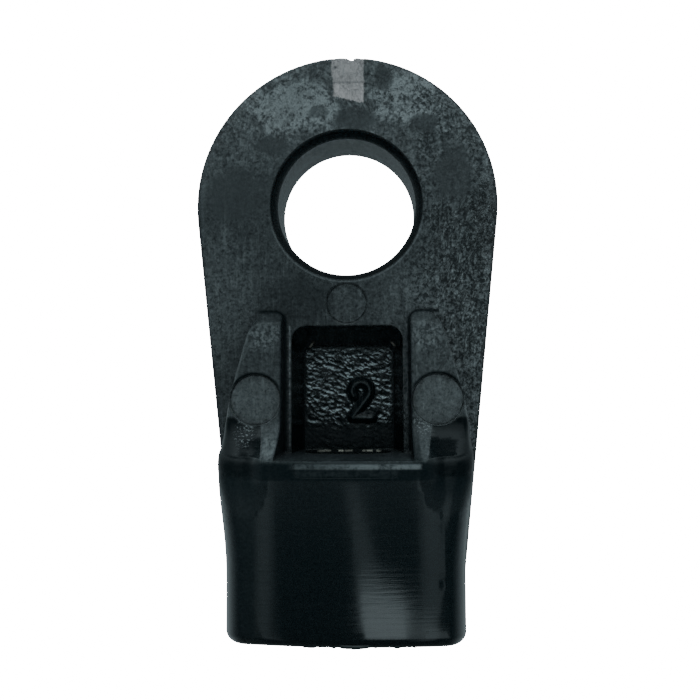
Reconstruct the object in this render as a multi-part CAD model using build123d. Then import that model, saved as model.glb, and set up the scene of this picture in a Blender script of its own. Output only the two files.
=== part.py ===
"""Cord lock with an attachment eye.

A one-piece moulding has an eye plate at the top and a D-shaped barrel at the bottom.
A spring-loaded push button slides in the barrel from the back. A pair of cords runs up
through the barrel, through the button's cross hole and out into the pocket at the front.

Millimetres. The origin is the centre of the eye's bore, in the plate's middle plane.
+Z points from the barrel's mouth to the eye, and the ribbed front faces -Y.
"""
from build123d import *
import math
import os

os.makedirs("parts", exist_ok=True)

# Driving dimensions of the moulding
eye_outer_radius = 13.5
eye_bore_radius = 6.25
eye_rim_radius = 6.8
eye_rim_depth = 0.95
plate_thickness = 6.0
plate_taper_deg = 6.0
plate_end_z = -33.0
mouth_z = -36.5
shoulder_z = -22.1
barrel_rise = 7.2
barrel_half_width = 9.6
barrel_corner_radius = 2.0
barrel_crown_radius = 60.0
mouth_edge_radius = 0.9
front_edge_radius = 0.3
back_edge_radius = 0.5

# Points (x, z) on the right side of the barrel and its rib, from the top of the straight foot upwards
barrel_side = [(9.6, -31.5), (10.07, -26.0), (10.42, -22.6), (10.38, -19.6), (9.65, -15.6), (8.06, -9.63)]
barrel_side_end_slope = (-0.26, 1)

# Ribs that run from the barrel's shoulders up the plate
rib_inner_x = 5.55
rib_side_x = 9.0
rib_top_z = -9.63
rib_end_slope = 1.15
rib_low_rise = 1.9
rib_high_rise = 2.4
rib_outer_corner = 1.5
rib_inner_corner = 0.9
rib_edge_radius = 0.5

# Sweep from the ribs' tops down to the barrel's front: points (rise over the plate, z)
sweep_start_z = -19.0
sweep_middle = [(3.1, -20.2), (4.7, -21.2), (6.3, -21.9)]
sweep_end_rise = 7.35
sweep_end_z = -23.3
sweep_start_slope = (-0.05, -1)
sweep_end_slope = (-0.06, -1)

# Pocket between the ribs
pocket_half_width = 4.95
pocket_floor_half_width = 4.15
pocket_top_z = -10.85
pocket_floor_top_z = -12.6
pocket_depth = 3.5
pocket_corner_radius = 1.3
pocket_floor_corner_radius = 0.8

# Marks that the mould's ejector pins leave
side_pin_x = 7.8
side_pin_z = -17.4
side_pin_radius = 2.2
side_pin_rise = 1.8
centre_pin_z = -8.9
centre_pin_radius = 1.8
centre_pin_depth = 0.08

# Lock mechanism
channel_width = 7.8
channel_height = 4.2
bore_radius = 5.85
bore_z = -29.2
bore_end_wall = 1.6
plunger_radius = 5.8
plunger_travel = 3.4
plunger_end_wall = 1.2
skirt_length = 3.2
skirt_inner_radius = 4.4
head_radius = 6.7
head_gap = 0.1
head_height = 2.1
keyway_reach = 7.0
keyway_width = 3.2
keyway_lip = 1.4
keyway_spare = 0.5
barb_reach = 6.8
barb_width = 2.8
barb_length = 1.8
barb_gap = 0.05
barb_tip_height = 0.5
barb_root_x = 5.0
barb_nose_x = 5.7
spring_mean_radius = 3.9
spring_wire_radius = 0.3
spring_turns = 4.5
spring_seat_radius = 3.2
spring_seat_height = 0.6
spring_gap = 0.05
rim_chamfer = 0.4
head_edge_radius = 0.3
dome_radius = 18.0
ridge_length = 7.6
ridge_width = 0.9
ridge_rise = 0.35
ridge_sink = 0.25
ridge_end_radius = 0.44
ridge_pitch = 2.6

# Room that cutting tools reach past the material, and slack for picking edges by place
reach = 1.0
slack = 0.1

# Derived places
front_y = -plate_thickness / 2
back_y = plate_thickness / 2
barrel_front_y = front_y - barrel_rise
pocket_floor_y = front_y + pocket_depth
channel_y = pocket_floor_y - channel_height / 2
bore_end_y = barrel_front_y + bore_end_wall
hole_y = channel_y + plunger_travel
cup_floor_y = hole_y - channel_height / 2 - plunger_end_wall
plunger_front_y = cup_floor_y - skirt_length
head_under_y = back_y + plunger_travel + head_gap
lip_y = back_y - keyway_lip
barb_back_y = lip_y - barb_gap
keyway_end_y = barb_back_y - barb_length - plunger_travel - keyway_spare
spring_front_y = bore_end_y + spring_gap
spring_back_y = cup_floor_y - spring_gap


def plate():
    """Eye plate: a round top and two tapering sides, with its edges eased."""
    taper = math.radians(plate_taper_deg)
    tangent_x = eye_outer_radius * math.cos(taper)
    tangent_z = -eye_outer_radius * math.sin(taper)
    end_x = tangent_x - (tangent_z - plate_end_z) * math.tan(taper)
    right = (tangent_x, tangent_z)
    left = (-tangent_x, tangent_z)
    sides = Polyline(right, (end_x, plate_end_z), (-end_x, plate_end_z), left)
    top_arc = ThreePointArc(left, (0, eye_outer_radius), right)
    solid = extrude(Plane.XZ.offset(-back_y) * make_face(sides + top_arc), plate_thickness)
    solid = fillet(solid.edges().group_by(Axis.Y)[0], front_edge_radius)
    return fillet(solid.edges().group_by(Axis.Y)[-1], back_edge_radius)


def barrel_outline():
    """Front outline of the barrel with both ribs still joined by the full width between them."""
    side = Spline(*barrel_side, tangents=((0, 1), barrel_side_end_slope))
    foot = Line((barrel_half_width, mouth_z), side @ 0)
    right = foot + side
    base = Line((-barrel_half_width, mouth_z), (barrel_half_width, mouth_z))
    crest = Line(side @ 1, (-(side @ 1).X, rib_top_z))
    return base + right + crest + mirror(right, Plane.YZ)


def shoulder_cutter():
    """Everything in front of the ribs' tops and of the sweep that joins them to the barrel."""
    foot = (front_y, rib_top_z)
    low = (front_y - rib_low_rise, rib_top_z - rib_end_slope)
    high = (front_y - rib_high_rise, sweep_start_z)
    middle = [(front_y - rise, z) for rise, z in sweep_middle]
    end = (front_y - sweep_end_rise, sweep_end_z)
    sweep_line = Spline(high, *middle, end, tangents=(sweep_start_slope, sweep_end_slope))
    far = barrel_front_y - 2 * reach
    around = Polyline(end, (far, sweep_end_z), (far, rib_top_z + reach), (front_y, rib_top_z + reach), foot)
    profile = Plane.YZ * make_face(Polyline(foot, low, high) + sweep_line + around)
    return extrude(profile, eye_outer_radius, both=True)


def gap_between_ribs():
    """The space over the pocket, from the plate's face up: it rounds the ribs' inner ends."""
    corner_z = rib_top_z - rib_inner_corner
    corner_x = rib_inner_x + rib_inner_corner
    top_z = rib_top_z + reach
    wall = Polyline((0, shoulder_z), (rib_inner_x, shoulder_z), (rib_inner_x, corner_z))
    corner = RadiusArc((rib_inner_x, corner_z), (corner_x, rib_top_z), rib_inner_corner)
    above = Polyline((corner_x, rib_top_z), (corner_x, top_z), (0, top_z))
    right = wall + corner + above
    profile = make_face(right + mirror(right, Plane.YZ))
    return extrude(Plane.XZ.offset(-front_y) * profile, barrel_rise + reach)


def barrel_and_ribs():
    """D-shaped barrel with two ribs that fall from its shoulders to the plate."""
    solid = extrude(Plane.XZ.offset(-back_y) * make_face(barrel_outline()), back_y - barrel_front_y)
    crown = Cylinder(barrel_crown_radius, -2 * mouth_z)
    solid = solid & Pos(0, barrel_front_y + barrel_crown_radius, bore_z) * crown
    raised = [e for e in solid.edges() if e.center().Y < front_y - reach]
    long_edges = [e for e in raised if abs(e.center().X) > rib_inner_x]
    solid = fillet(long_edges, barrel_corner_radius)
    solid = fillet(back_foot_edges(solid), back_edge_radius)
    return fillet(solid.edges().group_by(Axis.Z)[0], mouth_edge_radius)


def back_foot_edges(solid):
    """The upright edges at the back of the barrel's foot."""
    at_back = solid.edges().group_by(Axis.Y)[-1].filter_by(Axis.Z)
    return [e for e in at_back if e.center().Z < barrel_side[0][1]]


def rib_end_corners(solid):
    """The sloping outer corners at the ribs' upper ends."""
    middle_y = front_y - rib_low_rise / 2
    at_end = [e for e in solid.edges() if e.center().Z > rib_top_z - rib_end_slope]
    corners = [e for e in at_end if abs(e.center().Y - middle_y) < 2 * slack]
    return [e for e in corners if abs(e.center().X) > side_pin_x]


def rib_top_edges(solid):
    """The ribs' outer top edges and the edge at their ends, without the line where the sweep begins."""
    nearest = front_y - rib_high_rise - 2 * slack
    furthest = front_y - rib_low_rise + slack
    near_top = [e for e in solid.edges() if nearest < e.center().Y < furthest]
    on_ribs = [e for e in near_top if sweep_start_z - reach < e.center().Z < rib_top_z]
    return [e for e in on_ribs if e.center().Z > sweep_start_z + reach or abs(e.center().X) > rib_side_x]


def shell():
    """Plate, ribs and barrel as one moulding, before its pocket and holes are cut."""
    raised = barrel_and_ribs() - shoulder_cutter()
    raised = fillet(rib_end_corners(raised), rib_outer_corner)
    raised = fillet(rib_top_edges(raised), rib_edge_radius)
    return plate() + (raised - gap_between_ribs())


def along_y(radius, near_y, far_y, x, z):
    """A cylinder along Y between two Y values."""
    length = far_y - near_y
    return Pos(x, near_y + length / 2, z) * Cylinder(radius, length, rotation=(90, 0, 0))


def add_pin_marks(solid):
    """Round flat pads on both ribs, and a shallow round mark on the plate above the pocket."""
    pad_y = front_y - side_pin_rise
    for side in (-1, 1):
        x = side * side_pin_x
        solid = solid + along_y(side_pin_radius, pad_y, 0, x, side_pin_z)
        solid = solid - along_y(side_pin_radius, barrel_front_y, pad_y, x, side_pin_z)
    return solid - along_y(centre_pin_radius, front_y - reach, front_y + centre_pin_depth, 0, centre_pin_z)


def pocket_section(half_width, top_z, corner, y):
    """The pocket's outline at one depth: square at the shoulder, rounded at the top."""
    loop = Polyline(
        (-half_width, shoulder_z),
        (-half_width, top_z),
        (half_width, top_z),
        (half_width, shoulder_z),
        close=True,
    )
    face = make_face(loop)
    top_corners = face.vertices().group_by(Axis.Y)[-1]
    return Plane.XZ.offset(-y) * fillet(top_corners, corner)


def pocket():
    """The drafted pocket between the ribs, with its floor in the plate."""
    rim = pocket_section(pocket_half_width, pocket_top_z, pocket_corner_radius, front_y)
    corner = pocket_floor_corner_radius
    floor = pocket_section(pocket_floor_half_width, pocket_floor_top_z, corner, pocket_floor_y)
    return loft([floor, rim])


def eye_bore():
    """The eye's through bore with a shallow counterbore in its front."""
    depth = plate_thickness + 2 * reach
    bore = Cylinder(eye_bore_radius, depth, rotation=(90, 0, 0))
    rim = Cylinder(eye_rim_radius, 2 * eye_rim_depth, rotation=(90, 0, 0))
    return bore + Pos(0, front_y, 0) * rim


def cord_channel(low_z, high_z, y):
    """A slot with round ends for two cords side by side, along Z."""
    slot = SlotOverall(channel_width, channel_height)
    return extrude(Plane.XY.offset(low_z) * Pos(0, y) * slot, high_z - low_z)


def keyways():
    """Two blind grooves beside the bore in which the button's barbs travel."""
    length = lip_y - keyway_end_y
    return Pos(0, keyway_end_y + length / 2, bore_z) * Box(2 * keyway_reach, length, keyway_width)


def make_body():
    """The moulding: eye plate, ribs, pocket and barrel in one piece."""
    solid = add_pin_marks(shell())
    solid = solid - eye_bore() - pocket()
    solid = solid - cord_channel(mouth_z - reach, shoulder_z, channel_y)
    solid = solid - along_y(bore_radius, bore_end_y, back_y + reach, 0, bore_z)
    solid = solid - keyways()
    seat_top_y = bore_end_y + spring_seat_height
    solid = solid + along_y(spring_seat_radius, bore_end_y - slack, seat_top_y, 0, bore_z)
    solid = chamfer(back_rims(solid), rim_chamfer)
    return chamfer(mouth_rim(solid), rim_chamfer)


def back_rims(solid):
    """The rims of the eye and of the button's bore on the back face."""
    circles = solid.edges().filter_by(GeomType.CIRCLE).group_by(Axis.Y)[-1]
    return [e for e in circles if e.radius < eye_rim_radius]


def mouth_rim(solid):
    """The rim of the cord channel on the barrel's mouth."""
    at_mouth = solid.edges().group_by(Axis.Z)[0]
    narrow = [e for e in at_mouth if abs(e.center().X) < channel_width / 2 + slack]
    return [e for e in narrow if abs(e.center().Y - channel_y) < channel_height / 2 + slack]


def make_plunger():
    """Push button: a cupped stem with a cross hole and two barbs, and a domed head with grip ridges."""
    solid = along_y(plunger_radius, plunger_front_y, head_under_y + slack, 0, bore_z) + button_head()
    for side in (-1, 1):
        solid = solid + barb(side)
    solid = solid - cord_channel(bore_z - plunger_radius - reach, bore_z + plunger_radius + reach, hole_y)
    for row in (-1, 0, 1):
        solid = solid + grip_ridge(bore_z + row * ridge_pitch)
    return solid - spring_cup()


def button_head():
    """The low domed head that the thumb presses."""
    top_y = head_under_y + head_height
    dome = Pos(0, top_y - dome_radius, bore_z) * Sphere(dome_radius)
    head = along_y(head_radius, head_under_y, top_y, 0, bore_z) & dome
    return fillet(head.edges().group_by(Axis.Y)[0], head_edge_radius)


def barb(side):
    """A wedge beside the stem that catches behind the keyway's lip, on one side."""
    front = barb_back_y - barb_length
    outline = Polyline(
        (side * barb_root_x, barb_back_y),
        (side * barb_reach, barb_back_y),
        (side * barb_reach, barb_back_y - barb_tip_height),
        (side * barb_nose_x, front),
        (side * barb_root_x, front),
        close=True,
    )
    return extrude(Plane.XY.offset(bore_z - barb_width / 2) * make_face(outline), barb_width)


def grip_ridge(z):
    """A round-ended ridge across the button's head."""
    top_y = head_under_y + head_height
    ridge = Pos(0, top_y - ridge_sink, z) * Box(ridge_length, 2 * ridge_rise, ridge_width)
    return fillet(ridge.edges().filter_by(Axis.Y), ridge_end_radius)


def spring_cup():
    """The hollow in the stem's end that holds the spring round a low centring seat."""
    hollow = along_y(skirt_inner_radius, plunger_front_y - slack, cup_floor_y, 0, bore_z)
    seat_y = cup_floor_y - spring_seat_height
    return hollow - along_y(spring_seat_radius, seat_y, cup_floor_y + reach, 0, bore_z)


def make_spring():
    """Compression spring between the bore's end wall and the stem's end."""
    length = spring_back_y - spring_front_y
    rise = length - 2 * spring_wire_radius
    helix = Helix(rise / spring_turns, rise, spring_mean_radius)
    wire = sweep(Plane(helix @ 0, z_dir=helix % 0) * Circle(spring_wire_radius), path=helix)
    return Pos(0, spring_back_y - spring_wire_radius, bore_z) * (Rot(90, 0, 0) * wire)


nodes = {
    "body": make_body(),
    "plunger": make_plunger(),
    "spring": make_spring(),
}
for name, solid in nodes.items():
    solid.label = name
    export_step(solid, f"parts/{name}.step")
    size = solid.bounding_box().size
    print(f"{name}: {size.X:.2f} x {size.Y:.2f} x {size.Z:.2f} mm, {solid.volume:.1f} mm3")
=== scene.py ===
"""Looks of the cord lock: refined moulding with its flash, materials, floor, light and camera.

Lengths in this script are millimetres in the row frame, turned into metres by MM where Blender needs them.
"""
import math
from types import SimpleNamespace

import bmesh
import bpy
import numpy as np
from mathutils import Matrix, Vector, noise


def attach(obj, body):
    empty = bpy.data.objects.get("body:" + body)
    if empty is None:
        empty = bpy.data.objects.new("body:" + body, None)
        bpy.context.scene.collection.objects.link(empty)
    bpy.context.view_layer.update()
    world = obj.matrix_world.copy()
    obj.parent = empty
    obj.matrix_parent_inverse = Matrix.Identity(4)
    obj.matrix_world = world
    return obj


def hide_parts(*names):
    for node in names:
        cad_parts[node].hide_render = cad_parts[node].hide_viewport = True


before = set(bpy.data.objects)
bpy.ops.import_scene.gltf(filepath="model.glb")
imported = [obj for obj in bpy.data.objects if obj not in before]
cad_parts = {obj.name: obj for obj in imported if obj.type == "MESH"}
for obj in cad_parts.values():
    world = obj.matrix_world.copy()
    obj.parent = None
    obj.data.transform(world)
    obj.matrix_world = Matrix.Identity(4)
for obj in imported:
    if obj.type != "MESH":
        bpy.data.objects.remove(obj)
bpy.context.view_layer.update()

MM = 0.001

# Camera in front of the ribbed side, a little below the middle: place, then turns in radians
CAMERA_PLACE = (3.07, -64.72, -16.30)
CAMERA_YAW = 0.0452
CAMERA_PITCH = 0.0523
CAMERA_ROLL = -0.0062
LENS = 36.0
SENSOR = 36.0

# Places on the moulding: the plate's front, the pocket's floor (low x, high x, low z, high z) and the
# mouth; the barrel's rise over the plate and its corner radius; the eye's outer radius and the plate's
# taper below it; and the ejector pins' marks, each as centre x, centre z and radius
PLATE_Y = -3.0
POCKET_FLOOR_Y = 0.5
POCKET_FLOOR = (-4.15, 4.15, -22.1, -12.6)
MOUTH_Z = -36.5
BARREL_RISE = 7.2
BARREL_CORNER = 2.0
EYE_OUTER = 13.5
PLATE_TAPER = math.radians(6)
CENTRE_MARK = (0.0, -8.9, 1.8)
PADS = ((-7.8, -17.4, 2.2), (7.8, -17.4, 2.2))

# The sweep from the ribs' tops to the barrel's front: heights z, and rises over the plate
SWEEP_Z = (-23.3, -21.9, -21.2, -20.2, -19.0)
SWEEP_RISE = (7.35, 6.3, 4.7, 3.1, 2.4)


# ---------------------------------------------------------------- small helpers


def smooth(value, low, high):
    """0 below low, 1 above high, and an eased step between; low may be the larger."""
    t = np.clip((value - low) / (high - low), 0.0, 1.0)
    return t * t * (3 - 2 * t)


def perlin(points, scale, octaves, seed):
    """Fractal noise from about -1 to 1 at points given in millimetres."""
    shift = Vector((17.3 * seed, -9.1 * seed, 4.7 * seed))
    out = np.empty(len(points))
    for i, p in enumerate(points):
        out[i] = noise.fractal(Vector(p) * scale + shift, 0.9, 2.1, octaves)
    return out


def link(obj):
    """Put a new object in the scene, and return it."""
    bpy.context.scene.collection.objects.link(obj)
    return obj


def store(mesh, points):
    """Give a mesh its points, in millimetres."""
    mesh.vertices.foreach_set("co", (np.asarray(points) * MM).ravel())
    mesh.update()


# ---------------------------------------------------------------- shader helpers


class Shader:
    """A short way to write a node material or world: each call adds a node and returns its output."""

    def __init__(self, tree):
        self.tree = tree

    def add(self, kind, inputs=(), output=0, **settings):
        """Add a node, set its inputs to sockets or plain values, and return one of its outputs."""
        made = self.tree.nodes.new(kind)
        for key, value in settings.items():
            setattr(made, key, value)
        for key, value in dict(inputs).items():
            if isinstance(value, bpy.types.NodeSocket):
                self.tree.links.new(value, made.inputs[key])
            else:
                made.inputs[key].default_value = value
        return made.outputs[output]

    def math(self, operation, *values):
        return self.add("ShaderNodeMath", enumerate(values), operation=operation)

    def plus(self, *values):
        total = values[0]
        for value in values[1:]:
            total = self.math("ADD", total, value)
        return total

    def times(self, *values):
        total = values[0]
        for value in values[1:]:
            total = self.math("MULTIPLY", total, value)
        return total

    def without(self, value):
        """What a mask leaves: 1 less the value."""
        return self.math("SUBTRACT", 1.0, value)

    def centred(self, value):
        """A noise from 0 to 1, moved to run from -0.5 to 0.5."""
        return self.math("SUBTRACT", value, 0.5)

    def off(self, value, middle):
        """How far a value is from a middle one, either way."""
        return self.math("ABSOLUTE", self.math("SUBTRACT", value, middle))

    def past(self, value, limit):
        """How far a value is past a limit, or 0."""
        return self.math("MAXIMUM", self.math("SUBTRACT", value, limit), 0.0)

    def hypot(self, a, b):
        """The long side of a right triangle with sides a and b."""
        return self.math("SQRT", self.plus(self.times(a, a), self.times(b, b)))

    def largest(self, *values):
        total = values[0]
        for value in values[1:]:
            total = self.math("MAXIMUM", total, value)
        return total

    def step(self, value, low, high, low_out=0.0, high_out=1.0):
        """low_out up to low, high_out from high on, and an eased step between; low may be the larger."""
        inputs = {0: value, 1: low, 2: high, 3: low_out, 4: high_out}
        return self.add("ShaderNodeMapRange", inputs, interpolation_type="SMOOTHSTEP")

    def noise(self, vector, scale, detail=3.0, rough=0.5, distortion=0.0):
        inputs = {"Vector": vector, "Scale": scale, "Detail": detail, "Roughness": rough}
        inputs["Distortion"] = distortion
        return self.add("ShaderNodeTexNoise", inputs)

    def blend(self, factor, a, b):
        """Mix of two colours, each a socket or a tuple."""
        mix = self.tree.nodes.new("ShaderNodeMix")
        mix.data_type = "RGBA"
        for index, value in ((0, factor), (6, a), (7, b)):
            if isinstance(value, bpy.types.NodeSocket):
                self.tree.links.new(value, mix.inputs[index])
            else:
                mix.inputs[index].default_value = value if index == 0 else (*value, 1.0)
        return mix.outputs[2]

    def painted(self, name):
        """A value that the mesh carries at its points."""
        return self.add("ShaderNodeAttribute", output=2, attribute_name=name)

    def cells(self, vector, scale, warp):
        """A random value from 0 to 1 for each of many wavy-edged cells."""
        inputs = {"Vector": vector, "Scale": scale * 1.6, "Detail": 3.0}
        stir = self.add("ShaderNodeTexNoise", inputs, output=1)
        shift = self.add("ShaderNodeVectorMath", {0: stir, "Scale": warp}, operation="SCALE")
        moved = self.add("ShaderNodeVectorMath", {0: vector, 1: shift}, operation="ADD")
        patch = self.add("ShaderNodeTexVoronoi", {"Vector": moved, "Scale": scale}, output=1)
        return self.add("ShaderNodeSeparateColor", {0: patch})

    def stretch(self, vector, x, y, z):
        return self.add("ShaderNodeVectorMath", {0: vector, 1: (x, y, z)}, operation="MULTIPLY")

    def place(self):
        """The surface point in millimetres, as a vector and as x, y, z."""
        here = self.add("ShaderNodeTexCoord", output=3)
        vector = self.stretch(here, 1 / MM, 1 / MM, 1 / MM)
        parts = self.tree.nodes.new("ShaderNodeSeparateXYZ")
        self.tree.links.new(vector, parts.inputs[0])
        return vector, parts.outputs[0], parts.outputs[1], parts.outputs[2]

    def spot(self, x, z, centre, radii, ragged=0.0):
        """1 inside an ellipse on the front, fading to 0 at its rim; ragged moves the rim."""
        dx = self.math("DIVIDE", self.math("SUBTRACT", x, centre[0]), radii[0])
        dz = self.math("DIVIDE", self.math("SUBTRACT", z, centre[1]), radii[1])
        return self.step(self.math("ADD", self.hypot(dx, dz), ragged), 1.15, 0.6)

    def far_from(self, x, z, centre_x=0.0, centre_z=0.0):
        """Distance on the front from a centre."""
        return self.hypot(self.math("SUBTRACT", x, centre_x), self.math("SUBTRACT", z, centre_z))

    def near(self, value, middle, half_width):
        """1 where value is middle, fading to 0 at half_width from it."""
        return self.step(self.off(value, middle), half_width, 0.0)

    def band(self, value, low, high, soft):
        """1 between low and high, with soft edges."""
        return self.times(self.step(value, low - soft, low + soft),
                          self.step(value, high + soft, high - soft))

    def turned(self, x, y, z, degrees):
        """The point as a vector with its front turned clockwise, to set a grain at a slant."""
        cos, sin = math.cos(math.radians(degrees)), math.sin(math.radians(degrees))
        across = self.plus(self.times(x, cos), self.times(z, sin))
        along = self.plus(self.times(z, cos), self.times(x, -sin))
        return self.add("ShaderNodeCombineXYZ", {0: across, 1: y, 2: along})


def new_material(name):
    material = bpy.data.materials.new(name)
    material.use_nodes = True
    tree = material.node_tree
    return material, Shader(tree), tree.nodes["Principled BSDF"]


def wire_up(shader, principled, colour, roughness, height=None, eased=0.0):
    """Link the finished colour, roughness and height; eased is the radius that sharp edges show."""
    tree = shader.tree
    tree.links.new(colour, principled.inputs["Base Color"])
    tree.links.new(roughness, principled.inputs["Roughness"])
    if height is not None:
        inputs = {"Height": height, "Distance": MM, "Strength": 1.0}
        if eased:
            inputs["Normal"] = shader.add("ShaderNodeBevel", {"Radius": eased * MM}, samples=4)
        bump = shader.add("ShaderNodeBump", inputs)
        tree.links.new(bump, principled.inputs["Normal"])


def put_material(obj, material):
    """Make this the object's only material."""
    obj.data.materials.clear()
    obj.data.materials.append(material)


# ---------------------------------------------------------------- the body's plastic

# Colours: bare plastic, painted shade where no light reaches, haze, the cut gate, painted highlight on lit
# crests, and painted light for glints and the light under the pocket's floor
DEEP = (0.0024, 0.0078, 0.0100)
NIGHT = (0.0006, 0.0020, 0.0026)
HAZE = (0.300, 0.322, 0.327)
WHITENED = (0.60, 0.545, 0.54)
FLECK = (0.62, 0.70, 0.72)
CREAM = (0.95, 0.90, 0.76)

# Heights over which the plate gives way to the barrel, and how much higher its gloss climbs the hips
SHOULDER_Z = (-21.95, -22.35)
HIP_CLIMB = 3.3

# The eye's rim, where shade is painted, its walls, and a fine painted highlight line outside the rim, as
# distances from the eye's centre
EYE_WALL = (6.5, 6.3)
EYE_RIM = (6.27, 6.86)
EYE_LINE = 6.98

# The painted shadow line round each rib's foot: the centre of its corner, off the middle plane, and its
# radius
RIB_CORNER = (6.42, -10.53)
RIB_CORNER_RADIUS = 0.93

# Upright bands of painted highlight on the sweeps' inner sides, a painted highlight line on the pocket's left
# ledge, the painted highlight strip and the inset on the shoulder, and the painted reflection line at the
# barrel's foot
SWEEP_BANDS = ((-6.7, -5.6), (6.15, 6.85))
SWEEP_BAND_Z = (-22.0, -20.4)
LEDGE_X = -5.08
LEDGE_Z = (-21.6, -10.9)
STRIP_Z = (-22.72, -22.34)
INSET_X = (-3.8, 4.3)
INSET_Z = (-23.3, -22.8)
FOOT_LINE_Z = (-36.6, -36.27)

# The pocket: how far its floor reaches, and the limits of its unlit walls, each over a soft edge
FLOOR_SPAN = (-4.3, 4.3)
FLOOR_TOP = (-12.3, -12.7)
POCKET_TOP = (-10.75, -10.9)
POCKET_SIDE = (5.0, 4.9)
POCKET_FOOT = (-22.15, -22.0)

# Ellipses on the front, each a centre and two radii: dark islands and lit patches in the blush, then
# wrinkles, painted highlights on the ribs' tops, specks on the hips, a calm patch and a paler side of the
# plate
ISLANDS = (((0.9, 7.9), (2.2, 1.1)), ((7.0, 7.3), (1.5, 1.0)), ((-6.9, 5.4), (1.9, 0.9)),
           ((9.5, 2.5), (2.2, 3.0)), ((-10.0, 1.0), (3.2, 2.6)), ((-2.4, 8.6), (1.0, 0.7)),
           ((3.4, 11.3), (0.9, 1.3)))
LIT_LEFT = ((-4.6, 8.8), (3.9, 2.6))
LIT_RIGHT = ((5.2, 9.3), (3.2, 2.4))
WRINKLES = ((12.5, -1.8), (1.5, 4.6))
RIB_ENDS = (((-7.0, -11.9), (1.5, 1.2)), ((7.0, -12.0), (1.4, 1.5)))
SPECKS = (((-8.4, -20.1), (1.0, 1.4)), ((6.3, -19.2), (1.0, 1.1)))
CALM_PATCH = ((-4.2, -9.0), (3.6, 2.4))
PALE_SIDE = ((-10.8, -8.6), (2.8, 6.5))

# Two glints in the pocket's upper corners: place, then 1 if it rises to the right or -1 if to the left
GLINTS = (((-3.40, -12.36), 1.0), ((4.12, -12.42), -1.0))

# Where light shows under the pocket's floor edge: from x, to x, and how strongly
LIGHT_GAPS = ((-3.8, -3.3, 1.0), (-3.2, -1.7, 0.45), (-1.0, -0.55, 1.0), (-0.4, 0.3, 0.5),
              (1.2, 1.5, 0.6), (1.6, 2.15, 1.0), (2.5, 3.1, 0.7))
LIGHT_GAP_Z = -22.22

# The mould insert's line under the shoulder: middle x, half width, foot and corner radius
INSERT_X = 0.25
INSERT_HALF_WIDTH = 4.15
INSERT_FOOT = -23.34
INSERT_CORNER = 0.55


def body_material():
    """Dark teal-black moulded plastic: hazy plate, glossy barrel, flow marks, specks and scuffs, painted
    highlights and painted shade.
    """
    material, s, principled = new_material("body_plastic")
    # m gathers the values that the steps share, by name
    m = SimpleNamespace()
    for add_marks in (add_grains, add_parts, add_lines, add_blush, add_flow, add_rubs, add_veil, add_haze):
        add_marks(s, m)
    colour = body_colour(s, m)
    # Reflection turned down where shade is painted
    specular = s.plus(0.5, s.times(sooty(s, m), -0.38))
    s.tree.links.new(specular, principled.inputs["Specular IOR Level"])
    wire_up(s, principled, colour, body_roughness(s, m), body_height(s, m), eased=0.12)
    return material


def add_grains(s, m):
    """The surface point, and noises of several sizes, each from 0 to 1."""
    m.here, m.x, m.y, m.z = s.place()
    m.off_middle = s.math("ABSOLUTE", m.x)
    m.wide = s.noise(m.here, 0.16, 3.0, 0.5)
    m.blotch = s.noise(m.here, 0.55, 6.0, 0.62, 0.7)
    m.mottle = s.noise(m.here, 1.15, 7.0, 0.68, 1.1)
    m.fine = s.noise(m.here, 2.6, 6.0, 0.66, 0.5)
    m.dust = s.noise(m.here, 4.6, 3.0, 0.7)
    m.grain = s.noise(s.stretch(m.here, 3.0, 1.0, 0.2), 1.0, 5.0, 0.7, 0.4)
    m.weave = s.noise(s.stretch(m.here, 0.25, 1.0, 5.0), 1.0, 3.0, 0.6)
    m.ragged = s.times(s.centred(m.blotch), 1.6)


def add_parts(s, m):
    """Which part of the moulding each point is on, and its distances from the eye and from the outline."""
    x, y, z = m.x, m.y, m.z
    m.front = s.step(y, -1.6, -2.4)
    m.face = s.step(y, -2.4, -2.6)
    m.shoulder_front = s.step(y, -9.0, -9.8)
    m.away = s.step(y, -2.5, -1.0)
    on_top = s.step(y, -4.3, -4.8)
    m.hip = s.times(s.step(m.off_middle, 6.5, 7.6), s.step(y, -4.5, -4.95))
    below = s.step(s.plus(z, s.times(m.hip, -HIP_CLIMB)), *SHOULDER_Z)
    above = s.without(below)
    m.ribs = s.times(on_top, above)
    m.floor = s.times(s.band(x, *FLOOR_SPAN, 0.1), s.step(z, *FLOOR_TOP),
                      s.step(y, -0.2, 0.1), s.step(y, 1.3, 1.0), above)
    pads = 0.0
    for centre_x, centre_z, radius in PADS:
        pads = s.plus(pads, s.step(s.far_from(x, z, centre_x, centre_z), radius + 0.05, radius - 0.05))
    m.pads = s.times(pads, on_top)
    m.barrel = s.times(below, s.without(m.pads), s.step(y, 2.4, -0.6))
    m.plate = s.without(m.barrel)
    m.from_eye = s.far_from(x, z)
    along_side = s.plus(s.times(m.off_middle, math.cos(PLATE_TAPER)), s.times(z, -math.sin(PLATE_TAPER)))
    low = s.step(z, -1.0, -1.8)
    reach = s.plus(s.times(along_side, low), s.times(m.from_eye, s.without(low)))
    m.from_edge = s.math("SUBTRACT", EYE_OUTER, reach)


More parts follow.
